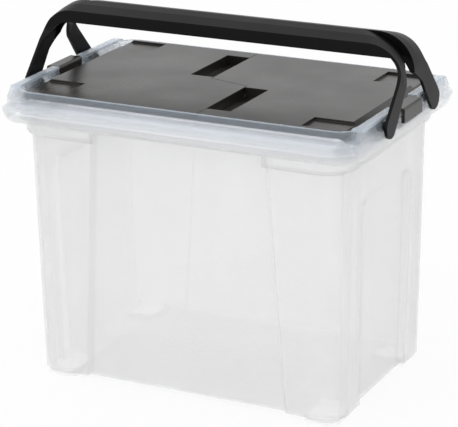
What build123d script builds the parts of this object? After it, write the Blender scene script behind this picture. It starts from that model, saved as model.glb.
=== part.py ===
from build123d import *
import os
from math import asin, atan, atan2, cos, degrees, hypot, pi, radians, sin, sqrt, tan

# Portable file box: a frosted tub, two wing lids hinged at its short ends and two
# bail handles that meet over the middle. Millimetres, +Z up, front = -Y, origin on
# the surface that the feet stand on, at the middle of the box.

# ---- tub body -----------------------------------------------------------------
WALL = 1.8               # moulded wall
FOOT_HEIGHT = 6.0        # feet below the floor of the body
BODY_HALF_LENGTH = 162.0  # at the floor, over the corner posts
BODY_HALF_DEPTH = 103.9
BODY_CORNER = 20.0
BODY_DRAFT = 4.7         # how much each side leans out from floor to collar
LEDGE_TOP = 282.0        # flat ledge of the rim, where a folded handle lies
COLLAR_HEIGHT = 20.0     # the rim hangs this far below its ledge
COLLAR_BOTTOM = LEDGE_TOP - COLLAR_HEIGHT
PANEL_RECESS = 4.8       # centre panels lie this deep behind the corner posts
PANEL_STEP_ANGLE = 40.0  # lean of the step beside a panel
PANEL_REACH = 12.0       # the steps' faces are drawn out this far from the body
FRONT_PANEL_DROP = 5.0
FRONT_PANEL_TOP = COLLAR_BOTTOM - FRONT_PANEL_DROP
FRONT_PANEL_HALF_TOP = 89.0     # half width at the outer face, top of the panel
FRONT_PANEL_HALF_BOTTOM = 112.0  # and at the height below
FRONT_PANEL_LOW = -20.0  # the panels run out through the floor
END_PANEL_DROP = 53.0    # top of an end panel, below the collar
END_PANEL_TOP = COLLAR_BOTTOM - END_PANEL_DROP
END_PANEL_LOW = -40.0
END_PANEL_HALF = 58.0
END_PANEL_CORNER = 14.0
SHOULDER_HEIGHT = 15.0   # step at the top of each corner post
SHOULDER_BOTTOM = COLLAR_BOTTOM - SHOULDER_HEIGHT
SHOULDER_PROUD = 5.0
SHOULDER_ROUND = 4.0

# ---- feet ---------------------------------------------------------------------
FOOT_LENGTH = 36.4       # along the long side
FOOT_DEPTH = 44.5
FOOT_INSET_X = 4.6       # foot sides, inside the body sides
FOOT_INSET_Y = 2.4
FOOT_CORNER = 12.0

# ---- rim ----------------------------------------------------------------------
LIP_HALF_LENGTH = BODY_HALF_LENGTH + 12.0  # inside face of the upright lip round the lids
LIP_HALF_DEPTH = BODY_HALF_DEPTH + 3.7
LIP_CORNER = 18.0
LIP_WALL = 2.2
LIP_ROUND = 0.7
LIP_TOP = LEDGE_TOP + 7.0
SEAT_GAP = 0.3           # under the closed lids
SEAT_WIDTH = 2.6         # rib inside each long side that the lids close on
SEAT_HEIGHT = 2.4
SEAT_END_GAP = 20.0      # from the end of a seat to the end of the lip
LEDGE_WIDTH = 14.2       # along the long sides
LEDGE_EDGE = 1.0         # small bevel along the ledge's outer edge
BOSS_WIDTH = 9.0         # end rim, from the inside of the lip to the outer wall
RIM_WALL = 2.0
RIM_HALF_LENGTH = LIP_HALF_LENGTH + BOSS_WIDTH
RIM_HALF_DEPTH = LIP_HALF_DEPTH + LIP_WALL + LEDGE_WIDTH
RIM_CORNER = 24.0
BEAD_PROUD_ENDS = 3.8    # rolled bead round the collar, on the short ends
BEAD_PROUD_SIDES = 7.0   # and on the long sides
BEAD_DROP = 10.0         # middle of the bead, below the ledge
BEAD_FLAT = 2.0
BEAD_START_DROP = 5.0
BEAD_END_DROP = 16.5
BEAD_SHOULDER = 0.2      # share of the bead at its upper edge on the long sides
BEAD_UNDER = 0.5         # share of the bead left at its lower edge

# ---- file rails ---------------------------------------------------------------
RAIL_INSET = 7.5         # hooks of a letter-size hanging folder ride here
RAIL_INNER = BODY_HALF_LENGTH - RAIL_INSET
RAIL_WALL = 2.2
RAIL_HEIGHT = 7.0

# ---- end bosses, hinge rod ------------------------------------------------------
BOSS_TOP = LEDGE_TOP + 9.0
BOSS_INNER_Y = 24.0      # faces that hold the hinge rod between them
BOSS_OUTER_Y = LIP_HALF_DEPTH - 1.1
BOSS_SLOPE = 8.5         # the top slopes down to the ledge over this length
BOSS_ROUND = 1.2
HINGE_X = RIM_HALF_LENGTH + 0.2
HINGE_Z = LEDGE_TOP + 2.5
ROD_RADIUS = 4.0
ROD_CLEARANCE = 0.1
ROD_SEAT = 6.0           # length of the rod held in each boss
HINGE_FLOOR = LEDGE_TOP - 9.0  # rim is cut down to here under the lid hinge

# ---- wing lids ------------------------------------------------------------------
LID_GAP = 0.6            # between a lid and the lip
LID_TOP = LIP_TOP
LID_WALL = 2.0
LID_SKIRT = 7.2
LID_END_GAP = 1.4
LID_END = LIP_HALF_LENGTH - LID_END_GAP
BEVEL_LENGTH = 10.6      # the lid slopes down to its hinge end
BEVEL_DROP = 8.4
SEAM_X = 21.8            # the seam is a Z: x = -SEAM_X behind, +SEAM_X in front
SEAM_TURN_Y = 5.4
SEAM_GAP = 0.6
POCKET_WIDTH = 24.5      # finger pocket beside the seam
POCKET_NEAR_Y = 10.0
POCKET_FAR_Y = 89.5
POCKET_DEPTH = 10.0
PAD_LENGTH = 48.6        # sunk corner pads that take the feet of a box on top
PAD_DEPTH = 2.2
FRONT_PAD_Y = (-103.0, -74.0)
REAR_PAD_Y = (60.0, 97.0)
KNUCKLE_HALF_WIDTH = 21.5
KNUCKLE_INNER_X = HINGE_X - 8.0
KNUCKLE_OUTER_X = HINGE_X + 6.8
KNUCKLE_TOP = HINGE_Z + 6.0
KNUCKLE_BOTTOM = HINGE_Z - 7.9
KNUCKLE_ROUND = 2.6
ARM_THICKNESS = 3.4      # joins the knuckle to the lid's end edge
SNAP_MOUTH = 7.0         # width of the opening that snaps over the rod

# ---- bail handles ---------------------------------------------------------------
PIVOT_Y = 53.0
PIVOT_Z = LEDGE_TOP - 0.5
PEG_RADIUS = 4.5
PEG_CLEARANCE = 0.1
PEG_HEAD_RADIUS = 5.6
PEG_HEAD_LENGTH = 2.0
PEG_END_GAP = 0.4        # inside the boss, at both ends of the peg's head
STRAP_GAP = 0.5          # between the rim bead and the strap
STRAP = 3.0
STRAP_END_RADIUS = 10.8
BAIL_RISE = 73.5         # top of the grips above the pivots
BAIL_TOP = PIVOT_Z + BAIL_RISE
GRIP_GAP = 0.3           # between the two grips
GRIP_WALL = 2.6
GRIP_DEPTH = 25.0        # front face of the front grip, from the middle plane
GRIP_HEIGHT = 17.7
GRIP_BOTTOM = BAIL_TOP - GRIP_HEIGHT
# Both handles are one moulding, turned half a turn. Seen from the front, the front one
# has a broad arch at its left end, and a tight corner at its right end, which tucks
# behind the other handle's arch.
GRIP_FACETS = (          # distance from the middle plane, drop of the top, two outer corners
    (GRIP_GAP / 2, 0.0, 36.0, 54.0),
    (11.0, 2.0, 34.0, 45.0),
    (GRIP_DEPTH, 6.0, 31.0, 36.0),
)
ARCH_CORNER = 28.0       # inner corner of the grip at the arched end
TIGHT_CORNER = 8.0       # and at the tight end
LEG_MARK_RISE = 31.5     # height above the pivot where the strap's front edge is given
LEG_MARK_Z = PIVOT_Z + LEG_MARK_RISE
LEG_MARK_FRONT_Y = 38.7
LEG_BEND = 18.0          # radius where the front edge turns upright
ARCH_LOW_TURN = (19.5, 25.5)   # turns of the back edges: distance from the middle plane,
ARCH_HIGH_RISE = 38.0          # and height above the pivot
TIGHT_LOW_TURN = (18.5, 29.0)
TIGHT_HIGH_TURN = (15.5, 43.0)
TIGHT_GRIP_DROP = 1.0          # the tight end reaches the middle this far below the grip
ARCH_BACK = (
    (ARCH_LOW_TURN[0], PIVOT_Z + ARCH_LOW_TURN[1]),
    (GRIP_GAP / 2, PIVOT_Z + ARCH_HIGH_RISE),
)
TIGHT_BACK = (
    (TIGHT_LOW_TURN[0], PIVOT_Z + TIGHT_LOW_TURN[1]),
    (TIGHT_HIGH_TURN[0], PIVOT_Z + TIGHT_HIGH_TURN[1]),
    (GRIP_GAP / 2, GRIP_BOTTOM - TIGHT_GRIP_DROP),
)
BACK_BEND = 8.0

SEAT_TOP = LID_TOP - LID_SKIRT - SEAT_GAP
STRAP_INNER_X = RIM_HALF_LENGTH + BEAD_PROUD_ENDS + STRAP_GAP
STRAP_OUTER_X = STRAP_INNER_X + STRAP
BAIL_LOW = PIVOT_Z - 3 * STRAP_END_RADIUS  # lowest point that the bail's outlines need


def rounded_prism(half_length, half_depth, corner, low, high, lean=0.0):
    """A rounded block from low to high whose sides lean out by lean."""
    base = Plane.XY.offset(low) * RectangleRounded(2 * half_length, 2 * half_depth, corner)
    taper = -degrees(atan(lean / (high - low)))
    return extrude(base, high - low, taper=taper)


def block(x0, x1, y0, y1, z0, z1):
    """An axis-aligned box from its two corners."""
    return Pos((x0 + x1) / 2, (y0 + y1) / 2, (z0 + z1) / 2) * Box(x1 - x0, y1 - y0, z1 - z0)


def four(piece):
    """The piece and its mirror images in the two middle planes."""
    pair = piece + mirror(piece, Plane.YZ)
    return pair + mirror(pair, Plane.XZ)


def both_ends(piece):
    return piece + mirror(piece, Plane.YZ)


def side_plane(y):
    """A sketch plane facing +Y at y, whose own y is the box's z."""
    return Plane(origin=(0, y, 0), x_dir=(-1, 0, 0), z_dir=(0, 1, 0))


def end_plane(x):
    """A sketch plane facing +X at x, whose own axes are the box's y and z."""
    return Plane(origin=(x, 0, 0), x_dir=(0, 1, 0), z_dir=(1, 0, 0))


def panel_cutters(grow):
    """The wedges that leave the centre panels recessed between the corner posts."""
    reach = PANEL_REACH
    slope = reach * tan(radians(PANEL_STEP_ANGLE))
    half_top = FRONT_PANEL_HALF_TOP + slope + grow
    half_bottom = FRONT_PANEL_HALF_BOTTOM + slope + grow
    top = FRONT_PANEL_TOP + slope + grow
    front = Polygon(
        (-half_bottom, FRONT_PANEL_LOW),
        (half_bottom, FRONT_PANEL_LOW),
        (half_top, top),
        (-half_top, top),
        align=None,
    )
    outside = BODY_HALF_DEPTH + reach + BODY_DRAFT / 2
    depth = reach + BODY_DRAFT / 2 + PANEL_RECESS + WALL
    cut = extrude(side_plane(-outside) * front, depth, taper=PANEL_STEP_ANGLE)
    half = END_PANEL_HALF + slope + grow
    end_top = END_PANEL_TOP + slope + grow
    end_face = Pos(0, (END_PANEL_LOW + end_top) / 2) * RectangleRounded(
        2 * half, end_top - END_PANEL_LOW, END_PANEL_CORNER + slope
    )
    end_outside = BODY_HALF_LENGTH + reach + BODY_DRAFT / 2
    end_cut = extrude(end_plane(-end_outside) * end_face, depth, taper=PANEL_STEP_ANGLE)
    return cut + mirror(cut, Plane.XZ) + end_cut + mirror(end_cut, Plane.YZ)


def body_form(inset, floor):
    """The body with posts and recessed panels, drawn in by inset."""
    height = COLLAR_BOTTOM - floor
    lean = BODY_DRAFT * height / (COLLAR_BOTTOM - FOOT_HEIGHT)
    start = BODY_DRAFT - lean
    posts = rounded_prism(
        BODY_HALF_LENGTH + start - inset,
        BODY_HALF_DEPTH + start - inset,
        BODY_CORNER - inset,
        floor,
        COLLAR_BOTTOM,
        lean,
    )
    core = rounded_prism(
        BODY_HALF_LENGTH + start - inset - PANEL_RECESS,
        BODY_HALF_DEPTH + start - inset - PANEL_RECESS,
        BODY_CORNER - inset - PANEL_RECESS,
        floor,
        COLLAR_BOTTOM,
        lean,
    )
    return (posts - panel_cutters(inset)) + core


def shoulder_form(inset):
    """The step that widens the top of the corner posts under the rim."""
    proud = BODY_DRAFT + SHOULDER_PROUD - inset
    low = SHOULDER_BOTTOM + inset
    band = rounded_prism(
        BODY_HALF_LENGTH + proud,
        BODY_HALF_DEPTH + proud,
        BODY_CORNER + proud,
        low,
        COLLAR_BOTTOM,
    )
    if inset == 0:
        band = fillet(band.edges().group_by(Axis.Z)[0], SHOULDER_ROUND)
    half = FRONT_PANEL_HALF_TOP + inset
    side = BODY_HALF_DEPTH + proud + 1
    return band - block(-half, half, -side, side, low - 1, COLLAR_BOTTOM + 1)


def foot_form(inset, low, high):
    """One corner foot, at +X +Y."""
    x1 = BODY_HALF_LENGTH - FOOT_INSET_X - inset
    y1 = BODY_HALF_DEPTH - FOOT_INSET_Y - inset
    x0 = x1 - FOOT_LENGTH + 2 * inset
    y0 = y1 - FOOT_DEPTH + 2 * inset
    shape = Pos((x0 + x1) / 2, (y0 + y1) / 2) * RectangleRounded(
        x1 - x0, y1 - y0, FOOT_CORNER - inset
    )
    return extrude(Plane.XY.offset(low) * shape, high - low)


def collar_form(inset, top):
    """Outer wall and rolled bead of the rim, drawn in by inset, up to top."""
    bead_top = LEDGE_TOP - BEAD_DROP + BEAD_FLAT / 2
    bead_low = bead_top - BEAD_FLAT
    middle = (
        (LEDGE_TOP - BEAD_START_DROP, 0, BEAD_PROUD_SIDES * BEAD_SHOULDER),
        (bead_top, BEAD_PROUD_ENDS, BEAD_PROUD_SIDES),
        (bead_low, BEAD_PROUD_ENDS, BEAD_PROUD_SIDES),
        (LEDGE_TOP - BEAD_END_DROP, BEAD_PROUD_ENDS * BEAD_UNDER, BEAD_PROUD_SIDES * BEAD_UNDER),
    )
    if inset == 0:
        edge = LEDGE_EDGE
        head = ((top, -edge, -edge), (top - edge, 0, 0))
        foot = ((COLLAR_BOTTOM, 0, 0),)
    else:
        head = ((top, 0, 0),)
        foot = ((COLLAR_BOTTOM - RIM_WALL, 0, 0),)
    rings = [
        Plane.XY.offset(height)
        * RectangleRounded(
            2 * (RIM_HALF_LENGTH + ends - inset),
            2 * (RIM_HALF_DEPTH + sides - inset),
            RIM_CORNER + (ends + sides) / 2 - inset,
        )
        for height, ends, sides in head + middle + foot
    ]
    return loft(rings, ruled=True)


def lip_block(out, low, high):
    """The lip's outline, grown by out."""
    return rounded_prism(
        LIP_HALF_LENGTH + out, LIP_HALF_DEPTH + out, LIP_CORNER + out, low, high
    )


def boss(out, low, high):
    """The raised block on the end rim at +X +Y, drawn in by out."""
    slope_out = 1.4 * out
    profile = Polygon(
        (BOSS_INNER_Y + out, low),
        (BOSS_OUTER_Y - slope_out, low),
        (BOSS_OUTER_Y - slope_out, LEDGE_TOP),
        (BOSS_OUTER_Y - BOSS_SLOPE - slope_out, high),
        (BOSS_INNER_Y + out, high),
        align=None,
    )
    start = LIP_HALF_LENGTH + out if out else LIP_HALF_LENGTH - LIP_CORNER / 2
    return extrude(end_plane(start) * profile, RIM_HALF_LENGTH - out - start)


def rim_cuts():
    """Everything taken out of the rim: lid room, boss cavities, peg holes, hinge gaps."""
    lid_room = lip_block(0, COLLAR_BOTTOM, BOSS_TOP + 5)
    cavity = boss(LIP_WALL, COLLAR_BOTTOM - 5, BOSS_TOP - RIM_WALL)
    peg_hole = Pos(RIM_HALF_LENGTH, PIVOT_Y, PIVOT_Z) * Rot(0, 90, 0) * Cylinder(
        PEG_RADIUS + PEG_CLEARANCE, 3 * RIM_WALL
    )
    gap = block(
        LIP_HALF_LENGTH - 1,
        RIM_HALF_LENGTH + BEAD_PROUD_ENDS + 5,
        -BOSS_INNER_Y,
        BOSS_INNER_Y,
        HINGE_FLOOR,
        BOSS_TOP + 5,
    )
    return lid_room, four(cavity), four(peg_hole), both_ends(gap)


def make_tub():
    floor = FOOT_HEIGHT
    body = body_form(0, floor) + shoulder_form(0)
    body += four(foot_form(0, 0, floor + WALL))
    body -= body_form(WALL, floor + WALL)
    body -= shoulder_form(WALL)
    body -= four(foot_form(WALL, WALL, floor + 2 * WALL))
    # rim: collar shell, lip, floor of the rim and four bosses
    rim = collar_form(0, LEDGE_TOP) - collar_form(RIM_WALL, LEDGE_TOP - RIM_WALL)
    lip = lip_block(LIP_WALL, COLLAR_BOTTOM - RIM_WALL, LIP_TOP)
    rim += fillet(lip.edges().group_by(Axis.Z)[-1], LIP_ROUND)
    rim_boss = boss(0, LEDGE_TOP - RIM_WALL, BOSS_TOP)
    rim_boss = fillet(rim_boss.edges().filter_by(Axis.Y).group_by(Axis.Z)[-1], BOSS_ROUND)
    rim += four(rim_boss)
    for cut in rim_cuts():
        rim -= cut
    rim -= body_form(WALL, floor + WALL)
    # the lids' seats along the two long sides
    seat = block(
        SEAT_END_GAP - LIP_HALF_LENGTH,
        LIP_HALF_LENGTH - SEAT_END_GAP,
        LIP_HALF_DEPTH - SEAT_WIDTH,
        LIP_HALF_DEPTH + LIP_WALL / 2,
        SEAT_TOP - SEAT_HEIGHT,
        SEAT_TOP,
    )
    rim += seat + mirror(seat, Plane.XZ)
    # file rails along both ends
    rail_end = BODY_HALF_DEPTH - PANEL_RECESS
    ridge = block(
        RAIL_INNER,
        RAIL_INNER + RAIL_WALL,
        -rail_end,
        rail_end,
        COLLAR_BOTTOM - RIM_WALL,
        COLLAR_BOTTOM + RAIL_HEIGHT,
    )
    shelf = block(
        RAIL_INNER, LIP_HALF_LENGTH + 1, -rail_end, rail_end, COLLAR_BOTTOM - RIM_WALL, COLLAR_BOTTOM
    )
    rim += both_ends(ridge + shelf)
    # the low middle of each end, with the hinge rod across it
    bridge = block(
        LIP_HALF_LENGTH,
        RIM_HALF_LENGTH + BEAD_PROUD_ENDS - RIM_WALL / 2,
        -BOSS_INNER_Y - 1,
        BOSS_INNER_Y + 1,
        HINGE_FLOOR - RIM_WALL,
        HINGE_FLOOR,
    )
    rod_length = 2 * (BOSS_INNER_Y + ROD_SEAT)
    rod = Pos(HINGE_X, 0, HINGE_Z) * Rot(90, 0, 0) * Cylinder(ROD_RADIUS, rod_length)
    rim += both_ends(bridge + rod)
    return body + rim


def right_lid_outline(inset):
    """Plan of the right-hand wing, from the Z seam to the hinge end."""
    half = LIP_HALF_DEPTH - LID_GAP - inset
    end = LID_END - inset
    edge = SEAM_GAP / 2 + inset
    slope = SEAM_TURN_Y / SEAM_X
    rise = edge * (sqrt(1 + slope * slope) - slope)
    shape = Polygon(
        (-SEAM_X + edge, half),
        (-SEAM_X + edge, SEAM_TURN_Y + rise),
        (SEAM_X + edge, -SEAM_TURN_Y + rise),
        (SEAM_X + edge, -half),
        (end, -half),
        (end, half),
        align=None,
    )
    corners = shape.vertices().sort_by(Axis.X)[-2:]
    return fillet(corners, LIP_CORNER - LID_GAP - inset)


def bevel_profile(top, drop):
    """Side view of a layer that is flat, then slopes down to the hinge end."""
    start = -SEAM_X - 5
    bevel = LID_END - BEVEL_LENGTH
    past_end = LID_END + 3
    fall = BEVEL_DROP * (past_end - bevel) / BEVEL_LENGTH
    low = top - drop
    return Polygon(
        (start, low),
        (bevel, low),
        (past_end, low - fall),
        (past_end, top - fall),
        (bevel, top),
        (start, top),
        align=None,
    )


def lid_layer(outline, drop):
    """The outline cut to a layer of the lid, drop thick under the top face."""
    section = Plane.XZ * bevel_profile(LID_TOP, drop)
    slab = extrude(section, LIP_HALF_DEPTH + 5, both=True)
    tall = 4 * LID_SKIRT
    prism = extrude(Plane.XY.offset(LID_TOP - tall) * outline, 2 * tall)
    return slab & prism


def make_right_wing():
    plate = lid_layer(right_lid_outline(0), LID_WALL)
    skirt = lid_layer(right_lid_outline(0) - right_lid_outline(LID_WALL), LID_SKIRT)
    wing = plate + skirt
    # finger pocket on the seam side of the front half
    seam = SEAM_X + SEAM_GAP / 2
    x0, x1 = seam, seam + POCKET_WIDTH
    y0, y1 = -POCKET_FAR_Y, -POCKET_NEAR_Y
    tray_low = LID_TOP - POCKET_DEPTH - LID_WALL
    inner_top = LID_TOP - LID_WALL / 2
    tray = block(x0, x1 + LID_WALL, y0 - LID_WALL, y1 + LID_WALL, tray_low, inner_top)
    hollow = block(x0 - 5, x1, y0, y1, LID_TOP - POCKET_DEPTH, LID_TOP + 5)
    wing = wing + tray - hollow
    # deep edge that closes the other wing's pocket, behind the seam
    edge_x = -SEAM_X + SEAM_GAP / 2
    wing += block(edge_x, edge_x + LID_WALL, -y1 - LID_WALL, -y0 + LID_WALL, tray_low, inner_top)
    # sunk corner pads, open at the bevel
    pad_x = LID_END - PAD_LENGTH
    inside = lid_layer(right_lid_outline(LID_WALL / 2), LID_SKIRT)
    for low, high in (FRONT_PAD_Y, REAR_PAD_Y):
        under = LID_TOP - PAD_DEPTH - LID_WALL
        below = block(pad_x - LID_WALL, LID_END, low - LID_WALL, high + LID_WALL, under, LID_TOP - 1)
        wing += below & inside
        wing -= block(pad_x, LID_END, low, high, LID_TOP - PAD_DEPTH, LID_TOP + 1)
    # hinge knuckle: an inverted U that snaps over the rod
    arm_low = LID_TOP - BEVEL_DROP - LID_WALL
    body = block(
        KNUCKLE_INNER_X,
        KNUCKLE_OUTER_X,
        -KNUCKLE_HALF_WIDTH,
        KNUCKLE_HALF_WIDTH,
        KNUCKLE_BOTTOM,
        KNUCKLE_TOP,
    )
    body = fillet(body.edges().filter_by(Axis.Y).group_by(Axis.Z)[-1], KNUCKLE_ROUND)
    arm = block(
        LID_END - LID_WALL,
        KNUCKLE_INNER_X + 1,
        -KNUCKLE_HALF_WIDTH,
        KNUCKLE_HALF_WIDTH,
        arm_low,
        arm_low + ARM_THICKNESS,
    )
    bore = Pos(HINGE_X, 0, HINGE_Z) * Rot(90, 0, 0) * Cylinder(
        ROD_RADIUS + ROD_CLEARANCE, 3 * KNUCKLE_HALF_WIDTH
    )
    mouth = block(
        HINGE_X - SNAP_MOUTH / 2,
        HINGE_X + SNAP_MOUTH / 2,
        -2 * KNUCKLE_HALF_WIDTH,
        2 * KNUCKLE_HALF_WIDTH,
        KNUCKLE_BOTTOM - 1,
        HINGE_Z,
    )
    return wing + ((body + arm) - bore - mouth)


def arched_window(half, low, top, left_corner, right_corner):
    """An upright opening whose top corners are rounded, as a sketch on a side plane."""
    shape = Pos(0, (low + top) / 2) * Rectangle(2 * half, top - low)
    right, left = shape.vertices().group_by(Axis.Y)[-1].sort_by(Axis.X)
    shape = fillet(left, left_corner)
    right = shape.vertices().sort_by_distance((-half, top))[0]
    return fillet(right, right_corner)


def bail_form(inset):
    """The filled bail, faceted along the grip and round its corners, drawn in by inset."""
    half = STRAP_OUTER_X - inset
    faces = [
        side_plane(-distance)
        * arched_window(half, BAIL_LOW, BAIL_TOP - drop - inset, arched - inset, tight - inset)
        for distance, drop, arched, tight in GRIP_FACETS
    ]
    grip = loft(faces, ruled=True)
    legs = extrude(faces[-1], -2 * PIVOT_Y)
    return grip + legs


def tangent_point(mark_y, mark_z, side):
    """Where a line from the mark touches the strap's round end, on one side of it."""
    along_y = mark_y + PIVOT_Y
    along_z = mark_z - PIVOT_Z
    reach = hypot(along_y, along_z)
    turn = pi / 2 - asin(STRAP_END_RADIUS / reach)
    angle = atan2(along_z, along_y) + side * turn
    return (-PIVOT_Y + STRAP_END_RADIUS * cos(angle), PIVOT_Z + STRAP_END_RADIUS * sin(angle))


def strap_side(back_turns):
    """Side view of the front bail: round pivot end, leaning leg, upright grip."""
    back = [(-distance, height) for distance, height in back_turns]
    back_touch = tangent_point(back[0][0], back[0][1], -1)
    front_touch = tangent_point(-LEG_MARK_FRONT_Y, LEG_MARK_Z, 1)
    front_rise = (LEG_MARK_Z - front_touch[1]) / (-LEG_MARK_FRONT_Y - front_touch[0])
    front_turn = (-GRIP_DEPTH, LEG_MARK_Z + front_rise * (LEG_MARK_FRONT_Y - GRIP_DEPTH))
    above = BAIL_TOP + 5
    leg = Polygon(
        (-PIVOT_Y, PIVOT_Z),
        back_touch,
        *back,
        (-GRIP_GAP / 2, above),
        (-GRIP_DEPTH, above),
        front_turn,
        front_touch,
        align=None,
    )
    for place, radius in [(front_turn, LEG_BEND)] + [(turn, BACK_BEND) for turn in back[:-1]]:
        turn = leg.vertices().sort_by_distance(place)[0]
        leg = fillet(turn, radius)
    return leg + Pos(-PIVOT_Y, PIVOT_Z) * Circle(STRAP_END_RADIUS)


def make_front_handle():
    """A channel: outer skin, a skirt along each edge, and one opening for the hand."""
    reach = STRAP_OUTER_X + STRAP_END_RADIUS
    form = bail_form(0)
    hollow = bail_form(STRAP)
    handle = Part()
    for back_turns, length in ((ARCH_BACK, -reach), (TIGHT_BACK, reach)):
        side = strap_side(back_turns)
        inside = side & (Pos(GRIP_WALL, 0) * side) & (Pos(-GRIP_WALL, 0) * side)
        solid = extrude(end_plane(0) * side, length) & form
        handle += solid - (extrude(end_plane(0) * inside, length) & hollow)
    opening = arched_window(STRAP_INNER_X, BAIL_LOW, GRIP_BOTTOM, ARCH_CORNER, TIGHT_CORNER)
    handle -= extrude(side_plane(GRIP_GAP) * opening, -2 * PIVOT_Y) & hollow
    # snap pegs that turn in the end walls of the rim
    cavity_inner = LIP_HALF_LENGTH + LIP_WALL
    cavity_outer = RIM_HALF_LENGTH - LIP_WALL
    peg_start = cavity_inner + PEG_END_GAP
    peg_length = STRAP_INNER_X + STRAP / 2 - peg_start
    peg = Pos(peg_start + peg_length / 2, -PIVOT_Y, PIVOT_Z) * Rot(0, 90, 0) * Cylinder(
        PEG_RADIUS, peg_length
    )
    head_middle = cavity_outer - PEG_END_GAP - PEG_HEAD_LENGTH / 2
    head = Pos(head_middle, -PIVOT_Y, PIVOT_Z) * Rot(0, 90, 0) * Cylinder(
        PEG_HEAD_RADIUS, PEG_HEAD_LENGTH
    )
    return handle + both_ends(peg + head)


def main():
    os.makedirs("parts", exist_ok=True)
    right = make_right_wing()
    front = make_front_handle()
    pieces = {
        "tub": make_tub(),
        "right_wing": right,
        "left_wing": Rot(0, 0, 180) * right,
        "front_handle": front,
        "rear_handle": Rot(0, 0, 180) * front,
    }
    for name, piece in pieces.items():
        piece.label = name
        print(name, "solids", len(piece.solids()), "volume", round(piece.volume))
        export_step(piece, f"parts/{name}.step")


main()
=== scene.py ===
# %% [markdown]
# # A portable file box, dressed for its photograph
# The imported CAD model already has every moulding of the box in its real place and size: a frosted tub, two
# black lid wings and two black bail handles, which are one moulding used twice, turned half a turn. This
# lesson gives those five mouldings the plastics they are made of, then sets up the floor, the light and the
# camera. Everything is in metres, +Z up, with the front at -Y.

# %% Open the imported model
import math

import bmesh
import bpy
from mathutils import Matrix, Vector


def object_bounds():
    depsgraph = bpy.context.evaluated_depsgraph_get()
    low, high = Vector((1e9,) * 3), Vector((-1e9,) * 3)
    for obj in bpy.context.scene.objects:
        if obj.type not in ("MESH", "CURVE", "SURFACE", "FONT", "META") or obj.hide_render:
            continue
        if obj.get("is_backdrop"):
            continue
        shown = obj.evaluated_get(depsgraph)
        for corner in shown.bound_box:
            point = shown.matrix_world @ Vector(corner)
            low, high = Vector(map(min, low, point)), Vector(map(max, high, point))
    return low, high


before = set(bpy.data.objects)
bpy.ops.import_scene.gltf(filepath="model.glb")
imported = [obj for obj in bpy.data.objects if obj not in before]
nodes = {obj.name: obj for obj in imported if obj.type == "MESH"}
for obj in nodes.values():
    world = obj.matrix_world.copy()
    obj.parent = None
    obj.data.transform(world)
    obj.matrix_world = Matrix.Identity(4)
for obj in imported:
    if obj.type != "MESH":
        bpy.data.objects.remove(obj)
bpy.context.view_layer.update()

MM = 0.001
print("mouldings:", ", ".join(sorted(nodes)))

# %% [markdown]
# ## Two kinds of helper
# Colours are easiest to pick as sRGB hex values, but the shader works with linear light, so one function
# converts them. A second function adds a node, gives it its settings and links its inputs. Two short ones
# start a material and put it on a moulding. With those, a material reads like a recipe.


# %% Colour and node helpers
def linear(hex_colour):
    """An sRGB hex colour as linear RGBA."""
    channels = [int(hex_colour[place:place + 2], 16) / 255 for place in (1, 3, 5)]
    low = [value / 12.92 for value in channels]
    high = [((value + 0.055) / 1.055) ** 2.4 for value in channels]
    picked = [b if value > 0.04045 else a for value, a, b in zip(channels, low, high)]
    return (*picked, 1.0)


def add(tree, kind, settings=None, **inputs):
    """Adds a node; an input is a value, or another node's output socket to link."""
    node = tree.nodes.new(kind)
    for name, value in (settings or {}).items():
        setattr(node, name, value)
    for name, value in inputs.items():
        # _0, _1 and so on name an input by its number, any other name by its label
        numbered = name[1:].isdigit()
        socket = node.inputs[int(name[1:])] if numbered else node.inputs[name.replace("_", " ")]
        if isinstance(value, bpy.types.NodeSocket):
            tree.links.new(value, socket)
        else:
            socket.default_value = value
    return node


def new_material(name):
    """An empty node material and its tree."""
    material = bpy.data.materials.new(name)
    material.use_nodes = True
    material.node_tree.nodes.clear()
    return material, material.node_tree


def cover(node_name, material):
    """Gives a CAD node one material on all of its faces."""
    slots = nodes[node_name].data.materials
    slots.clear()
    slots.append(material)
    print(node_name, "is made of", material.name)


# %% [markdown]
# ## Frosted polypropylene
# The tub is natural polypropylene, injection moulded. The body of the mould is finely blasted, and the rim
# is smoother. The plastic is milky, so a black lid close behind the lip shows as a blue-grey band, and
# anything further in is only a hint.
#
# Each face of the wall does three things with light, and the shader has one setting for each. Alpha leaves
# out the share that goes straight through. Of the rest, Transmission bends and blurs one part, and the base
# colour scatters the other part back. Without the straight share the light inside the box would be lost
# between its many faces, and the tub would turn grey. The rim lets more through than the body does, and its
# colour is painted a cooler blue-grey, which stands in for the shade of the black lid behind it. The lip's
# top edge is made milkier, a painted highlight for the light that is led up the thin lip and leaves at its
# top edge as a pale line.

# %% The tub's plastic in numbers
BODY_WHITE = "#FFFFFF"
# painted shade: the rim's blue-grey stands in for the black lid seen through it
RIM_LID_SHADE = "#DEE8F3"
TUB_IOR = 1.49
BLURRED_SHARE = 0.58
BODY_MILK = 0.50     # alpha: the share of light that doesn't go straight through a face
RIM_MILK = 0.36
# painted highlight: the lip's top edge is made milkier, so that it shows as a pale line
LIP_HIGHLIGHT_MILK = 0.85
RIM_MM = (262.0, 284.0)    # the body turns into the rim between these heights
LIP_HIGHLIGHT_MM = (287.8, 288.6)   # and the lip into its bright top edge between these
GRAIN_MM = 0.7       # the blasted texture, drawn coarser than its real 0.1 mm so that it shows
GRAIN_DEPTH_MM = 0.02
GRAIN_STRENGTH = 0.4
FLOW_MM = 45.0       # width of the faint marks where the melt flowed
TUB_ROUGHNESS = (0.19, 0.25)
NOISE_RANGE = (0.3, 0.7)   # a noise texture seldom leaves this range


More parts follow.
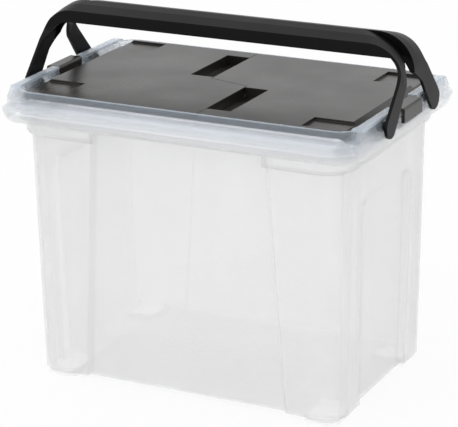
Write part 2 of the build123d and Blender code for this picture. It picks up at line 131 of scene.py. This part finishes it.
# %% The tub's material
def frosted_polypropylene():
    """Milky plastic, clearer at the rim; painted shade tints the rim and a painted highlight marks the lip's
    top edge.
    """
    material, tree = new_material("frosted polypropylene")
    place = add(tree, "ShaderNodeTexCoord").outputs["Object"]
    grain = add(tree, "ShaderNodeTexNoise", Vector=place, Scale=1 / (GRAIN_MM * MM), Detail=2.0)
    flow = add(tree, "ShaderNodeTexNoise", Vector=place, Scale=1 / (FLOW_MM * MM), Detail=1.0)
    rough = add(
        tree,
        "ShaderNodeMapRange",
        Value=flow.outputs["Fac"],
        From_Min=NOISE_RANGE[0],
        From_Max=NOISE_RANGE[1],
        To_Min=TUB_ROUGHNESS[0],
        To_Max=TUB_ROUGHNESS[1],
    )
    bump = add(
        tree,
        "ShaderNodeBump",
        Height=grain.outputs["Fac"],
        Distance=GRAIN_DEPTH_MM * MM,
        Strength=GRAIN_STRENGTH,
    )
    height = add(tree, "ShaderNodeSeparateXYZ", Vector=place).outputs["Z"]
    rim, edge = [
        add(tree, "ShaderNodeMapRange", Value=height, From_Min=low * MM, From_Max=high * MM).outputs["Result"]
        for low, high in (RIM_MM, LIP_HIGHLIGHT_MM)
    ]
    wall = add(tree, "ShaderNodeMapRange", Value=rim, To_Min=BODY_MILK, To_Max=RIM_MILK)
    # painted highlight: towards the lip's top edge the alpha rises, so that the edge shows as a pale line
    milk_and_lip_highlight = add(tree, "ShaderNodeMapRange", Value=edge, To_Min=wall.outputs["Result"], To_Max=LIP_HIGHLIGHT_MILK)
    # painted shade: towards the rim the colour blends to a blue-grey that stands in for the black lid behind
    # it
    colour_and_lid_shade = add(
        tree, "ShaderNodeMixRGB", Fac=rim, Color1=linear(BODY_WHITE), Color2=linear(RIM_LID_SHADE)
    )
    shader = add(
        tree,
        "ShaderNodeBsdfPrincipled",
        Base_Color=colour_and_lid_shade.outputs["Color"],
        Roughness=rough.outputs["Result"],
        IOR=TUB_IOR,
        Transmission_Weight=BLURRED_SHARE,
        Alpha=milk_and_lip_highlight.outputs["Result"],
        Normal=bump.outputs["Normal"],
    )
    add(tree, "ShaderNodeOutputMaterial", Surface=shader.outputs["BSDF"])
    return material


cover("tub", frosted_polypropylene())

# %% [markdown]
# ## Black polypropylene
# The lids and the handles are the same plastic, filled with carbon black. The lids have a fine spark-eroded
# texture and a satin skin, which spreads the reflection of a white room into a warm dark grey. The handles
# are blacker and duller, so that only their edges and top facets catch the light. One recipe makes both. A
# Bevel node rounds the shading at the edges, because a moulded edge is never quite sharp and always carries
# a thin line of light; the mesh stays as it is.

# %% The black plastics in numbers
BLACK_IOR = 1.5
BLACK_EDGE_MM = 0.7   # radius of the shading at the moulded edges
EDGE_SAMPLES = 6
WEAR_MM = 60.0        # width of the faint patches that handling leaves
ROUGHNESS_SPREAD = 0.04
TEXTURE_STRENGTH = 0.5


# %% The lids' and handles' material
def black_polypropylene(name, colour, roughness, shine, grain_mm, depth_mm):
    """Carbon-black plastic; shine is the strength of its reflection, grain_mm the size of its texture."""
    material, tree = new_material(name)
    place = add(tree, "ShaderNodeTexCoord").outputs["Object"]
    grain = add(tree, "ShaderNodeTexNoise", Vector=place, Scale=1 / (grain_mm * MM), Detail=3.0)
    wear = add(tree, "ShaderNodeTexNoise", Vector=place, Scale=1 / (WEAR_MM * MM), Detail=2.0)
    rough = add(
        tree,
        "ShaderNodeMapRange",
        Value=wear.outputs["Fac"],
        From_Min=NOISE_RANGE[0],
        From_Max=NOISE_RANGE[1],
        To_Min=roughness - ROUGHNESS_SPREAD,
        To_Max=roughness + ROUGHNESS_SPREAD,
    )
    edge = add(tree, "ShaderNodeBevel", {"samples": EDGE_SAMPLES}, Radius=BLACK_EDGE_MM * MM)
    bump = add(
        tree,
        "ShaderNodeBump",
        Height=grain.outputs["Fac"],
        Distance=depth_mm * MM,
        Strength=TEXTURE_STRENGTH,
        Normal=edge.outputs["Normal"],
    )
    shader = add(
        tree,
        "ShaderNodeBsdfPrincipled",
        Base_Color=linear(colour),
        Roughness=rough.outputs["Result"],
        IOR=BLACK_IOR,
        Specular_IOR_Level=shine,
        Normal=bump.outputs["Normal"],
    )
    add(tree, "ShaderNodeOutputMaterial", Surface=shader.outputs["BSDF"])
    return material


# both textures are drawn coarser than the real 0.05 to 0.1 mm, so that they show
lid_plastic = black_polypropylene(
    "textured black polypropylene", "#262321", roughness=0.30, shine=0.5, grain_mm=0.5, depth_mm=0.02
)
handle_plastic = black_polypropylene(
    "satin black polypropylene", "#0A0A0B", roughness=0.38, shine=0.12, grain_mm=0.8, depth_mm=0.015
)
for wing in ("left_wing", "right_wing"):
    cover(wing, lid_plastic)
for handle in ("front_handle", "rear_handle"):
    cover(handle, handle_plastic)

# %% [markdown]
# ## Floor
# The photograph has no horizon: the box stands on white. A large pale sheet carries its soft shadow. To the
# camera, in a reflection or through the plastic, most of what is seen of the sheet is plain white at a
# strength of 1, and the rest is the sheet as it is lit, with the shadow. The light that the sheet sends onto
# the box comes from its own pale colour alone.

# %% A pale floor
FLOOR_HALF = 6.0    # metres
PAPER_COLOUR = "#FAFAFA"
PAPER_GLOW = 0.9    # share of plain white in what is seen of the paper; the rest takes the shadow


def seen_directly(tree):
    """1 for a ray from the camera, a reflection or the light through the plastic, else 0."""
    path = add(tree, "ShaderNodeLightPath")
    seen = path.outputs["Is Camera Ray"]
    for kind in ("Is Glossy Ray", "Is Transmission Ray"):
        both = add(tree, "ShaderNodeMath", {"operation": "MAXIMUM"}, _0=seen, _1=path.outputs[kind])
        seen = both.outputs["Value"]
    return seen


floor_mesh = bmesh.new()
bmesh.ops.create_grid(floor_mesh, x_segments=1, y_segments=1, size=FLOOR_HALF)
floor_data = bpy.data.meshes.new("floor")
floor_mesh.to_mesh(floor_data)
floor_mesh.free()
floor = bpy.data.objects.new("floor", floor_data)
bpy.context.collection.objects.link(floor)

paper, paper_tree = new_material("matt white paper")
paper_matt = add(paper_tree, "ShaderNodeBsdfDiffuse", Color=linear(PAPER_COLOUR))
paper_white = add(paper_tree, "ShaderNodeEmission", Strength=1.0)
paper_share = add(
    paper_tree, "ShaderNodeMath", {"operation": "MULTIPLY"}, _0=seen_directly(paper_tree), _1=PAPER_GLOW
)
paper_mix = add(
    paper_tree,
    "ShaderNodeMixShader",
    _0=paper_share.outputs["Value"],
    _1=paper_matt.outputs["BSDF"],
    _2=paper_white.outputs["Emission"],
)
add(paper_tree, "ShaderNodeOutputMaterial", Surface=paper_mix.outputs["Shader"])
floor_data.materials.append(paper)
floor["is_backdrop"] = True
print("floor", 2 * FLOOR_HALF, "m square")

# %% [markdown]
# ## Light
# The world is a white room. It is white at a strength of 1 where it is seen, reflected or looked at through
# the plastic, and a little dimmer as a lamp, so that a pale wall doesn't burn out. One broad lamp above, in
# front and to the left gives the facets their direction.

# %% A white room
WORLD_STRENGTH = 0.92
world = bpy.data.worlds.new("white room")
bpy.context.scene.world = world
world.use_nodes = True
room = world.node_tree
room.nodes.clear()
strength = add(
    room, "ShaderNodeMapRange", Value=seen_directly(room), To_Min=WORLD_STRENGTH, To_Max=1.0
)
sky = add(room, "ShaderNodeBackground", Color=(1, 1, 1, 1), Strength=strength.outputs["Result"])
add(room, "ShaderNodeOutputWorld", Surface=sky.outputs["Background"])

# %% One broad lamp
LAMP_PLACE = Vector((-1.2, -2.0, 2.2))
LAMP_AIM = Vector((0, 0, 0.15))    # the middle of the box
LAMP_SIZE = 1.6
LAMP_WATTS = 12
lamp_data = bpy.data.lights.new("key", "AREA")
lamp_data.shape = "SQUARE"
lamp_data.size = LAMP_SIZE
lamp_data.energy = LAMP_WATTS
lamp = bpy.data.objects.new("key", lamp_data)
bpy.context.collection.objects.link(lamp)
lamp.location = LAMP_PLACE
lamp.rotation_euler = (LAMP_AIM - LAMP_PLACE).to_track_quat("-Z", "Y").to_euler()
print("lamp", round((LAMP_AIM - LAMP_PLACE).length, 2), "m from the box")

# %% [markdown]
# ## Camera
# The photograph was taken from the right of the front and a little above, with a long lens held almost
# level. The distance and the angles were found by matching the corners of the rim, the lids and the feet.
# The lens shift only places the box where it is in the picture.

# %% A long lens at the photograph's angle
PICTURE_WIDTH = 458
PICTURE_HEIGHT = 427
AZIMUTH, ELEVATION, ROLL = (math.radians(angle) for angle in (26.91, 19.14, -0.78))
DISTANCE = 2.1448
TARGET = Vector((0, 0, 0.14516))
FOCAL_PIXELS = 2194.9
TARGET_PIXEL = (230.99, 224.26)
SENSOR_MM = 36

camera_data = bpy.data.cameras.new("camera")
camera_data.sensor_width = SENSOR_MM
camera_data.lens = FOCAL_PIXELS / PICTURE_WIDTH * camera_data.sensor_width
camera_data.shift_x = -(TARGET_PIXEL[0] - PICTURE_WIDTH / 2) / PICTURE_WIDTH
camera_data.shift_y = (TARGET_PIXEL[1] - PICTURE_HEIGHT / 2) / PICTURE_WIDTH
back = Vector(
    (
        math.sin(AZIMUTH) * math.cos(ELEVATION),
        -math.cos(AZIMUTH) * math.cos(ELEVATION),
        math.sin(ELEVATION),
    )
)
level = Vector((math.cos(AZIMUTH), math.sin(AZIMUTH), 0))
upright = back.cross(level)
right = level * math.cos(ROLL) + upright * math.sin(ROLL)
up = upright * math.cos(ROLL) - level * math.sin(ROLL)
camera = bpy.data.objects.new("camera", camera_data)
bpy.context.collection.objects.link(camera)
turn = Matrix((right, up, back)).transposed().to_4x4()
camera.matrix_world = Matrix.Translation(TARGET + back * DISTANCE) @ turn
bpy.context.scene.camera = camera
print("lens", round(camera_data.lens, 1), "mm from", round(DISTANCE, 2), "m")

# %% [markdown]
# ## Finish
# The standard view transform shows colours as they are written. The last lines work out the dressed
# object's size in millimetres.

# %% View transform and the dressed object's size
bpy.context.scene.view_settings.view_transform = "Standard"
shown_box = [list(corner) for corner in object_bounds()]
size_mm = [round((high - low) / MM, 1) for low, high in zip(*shown_box)]
print("dressed size", size_mm, "mm")
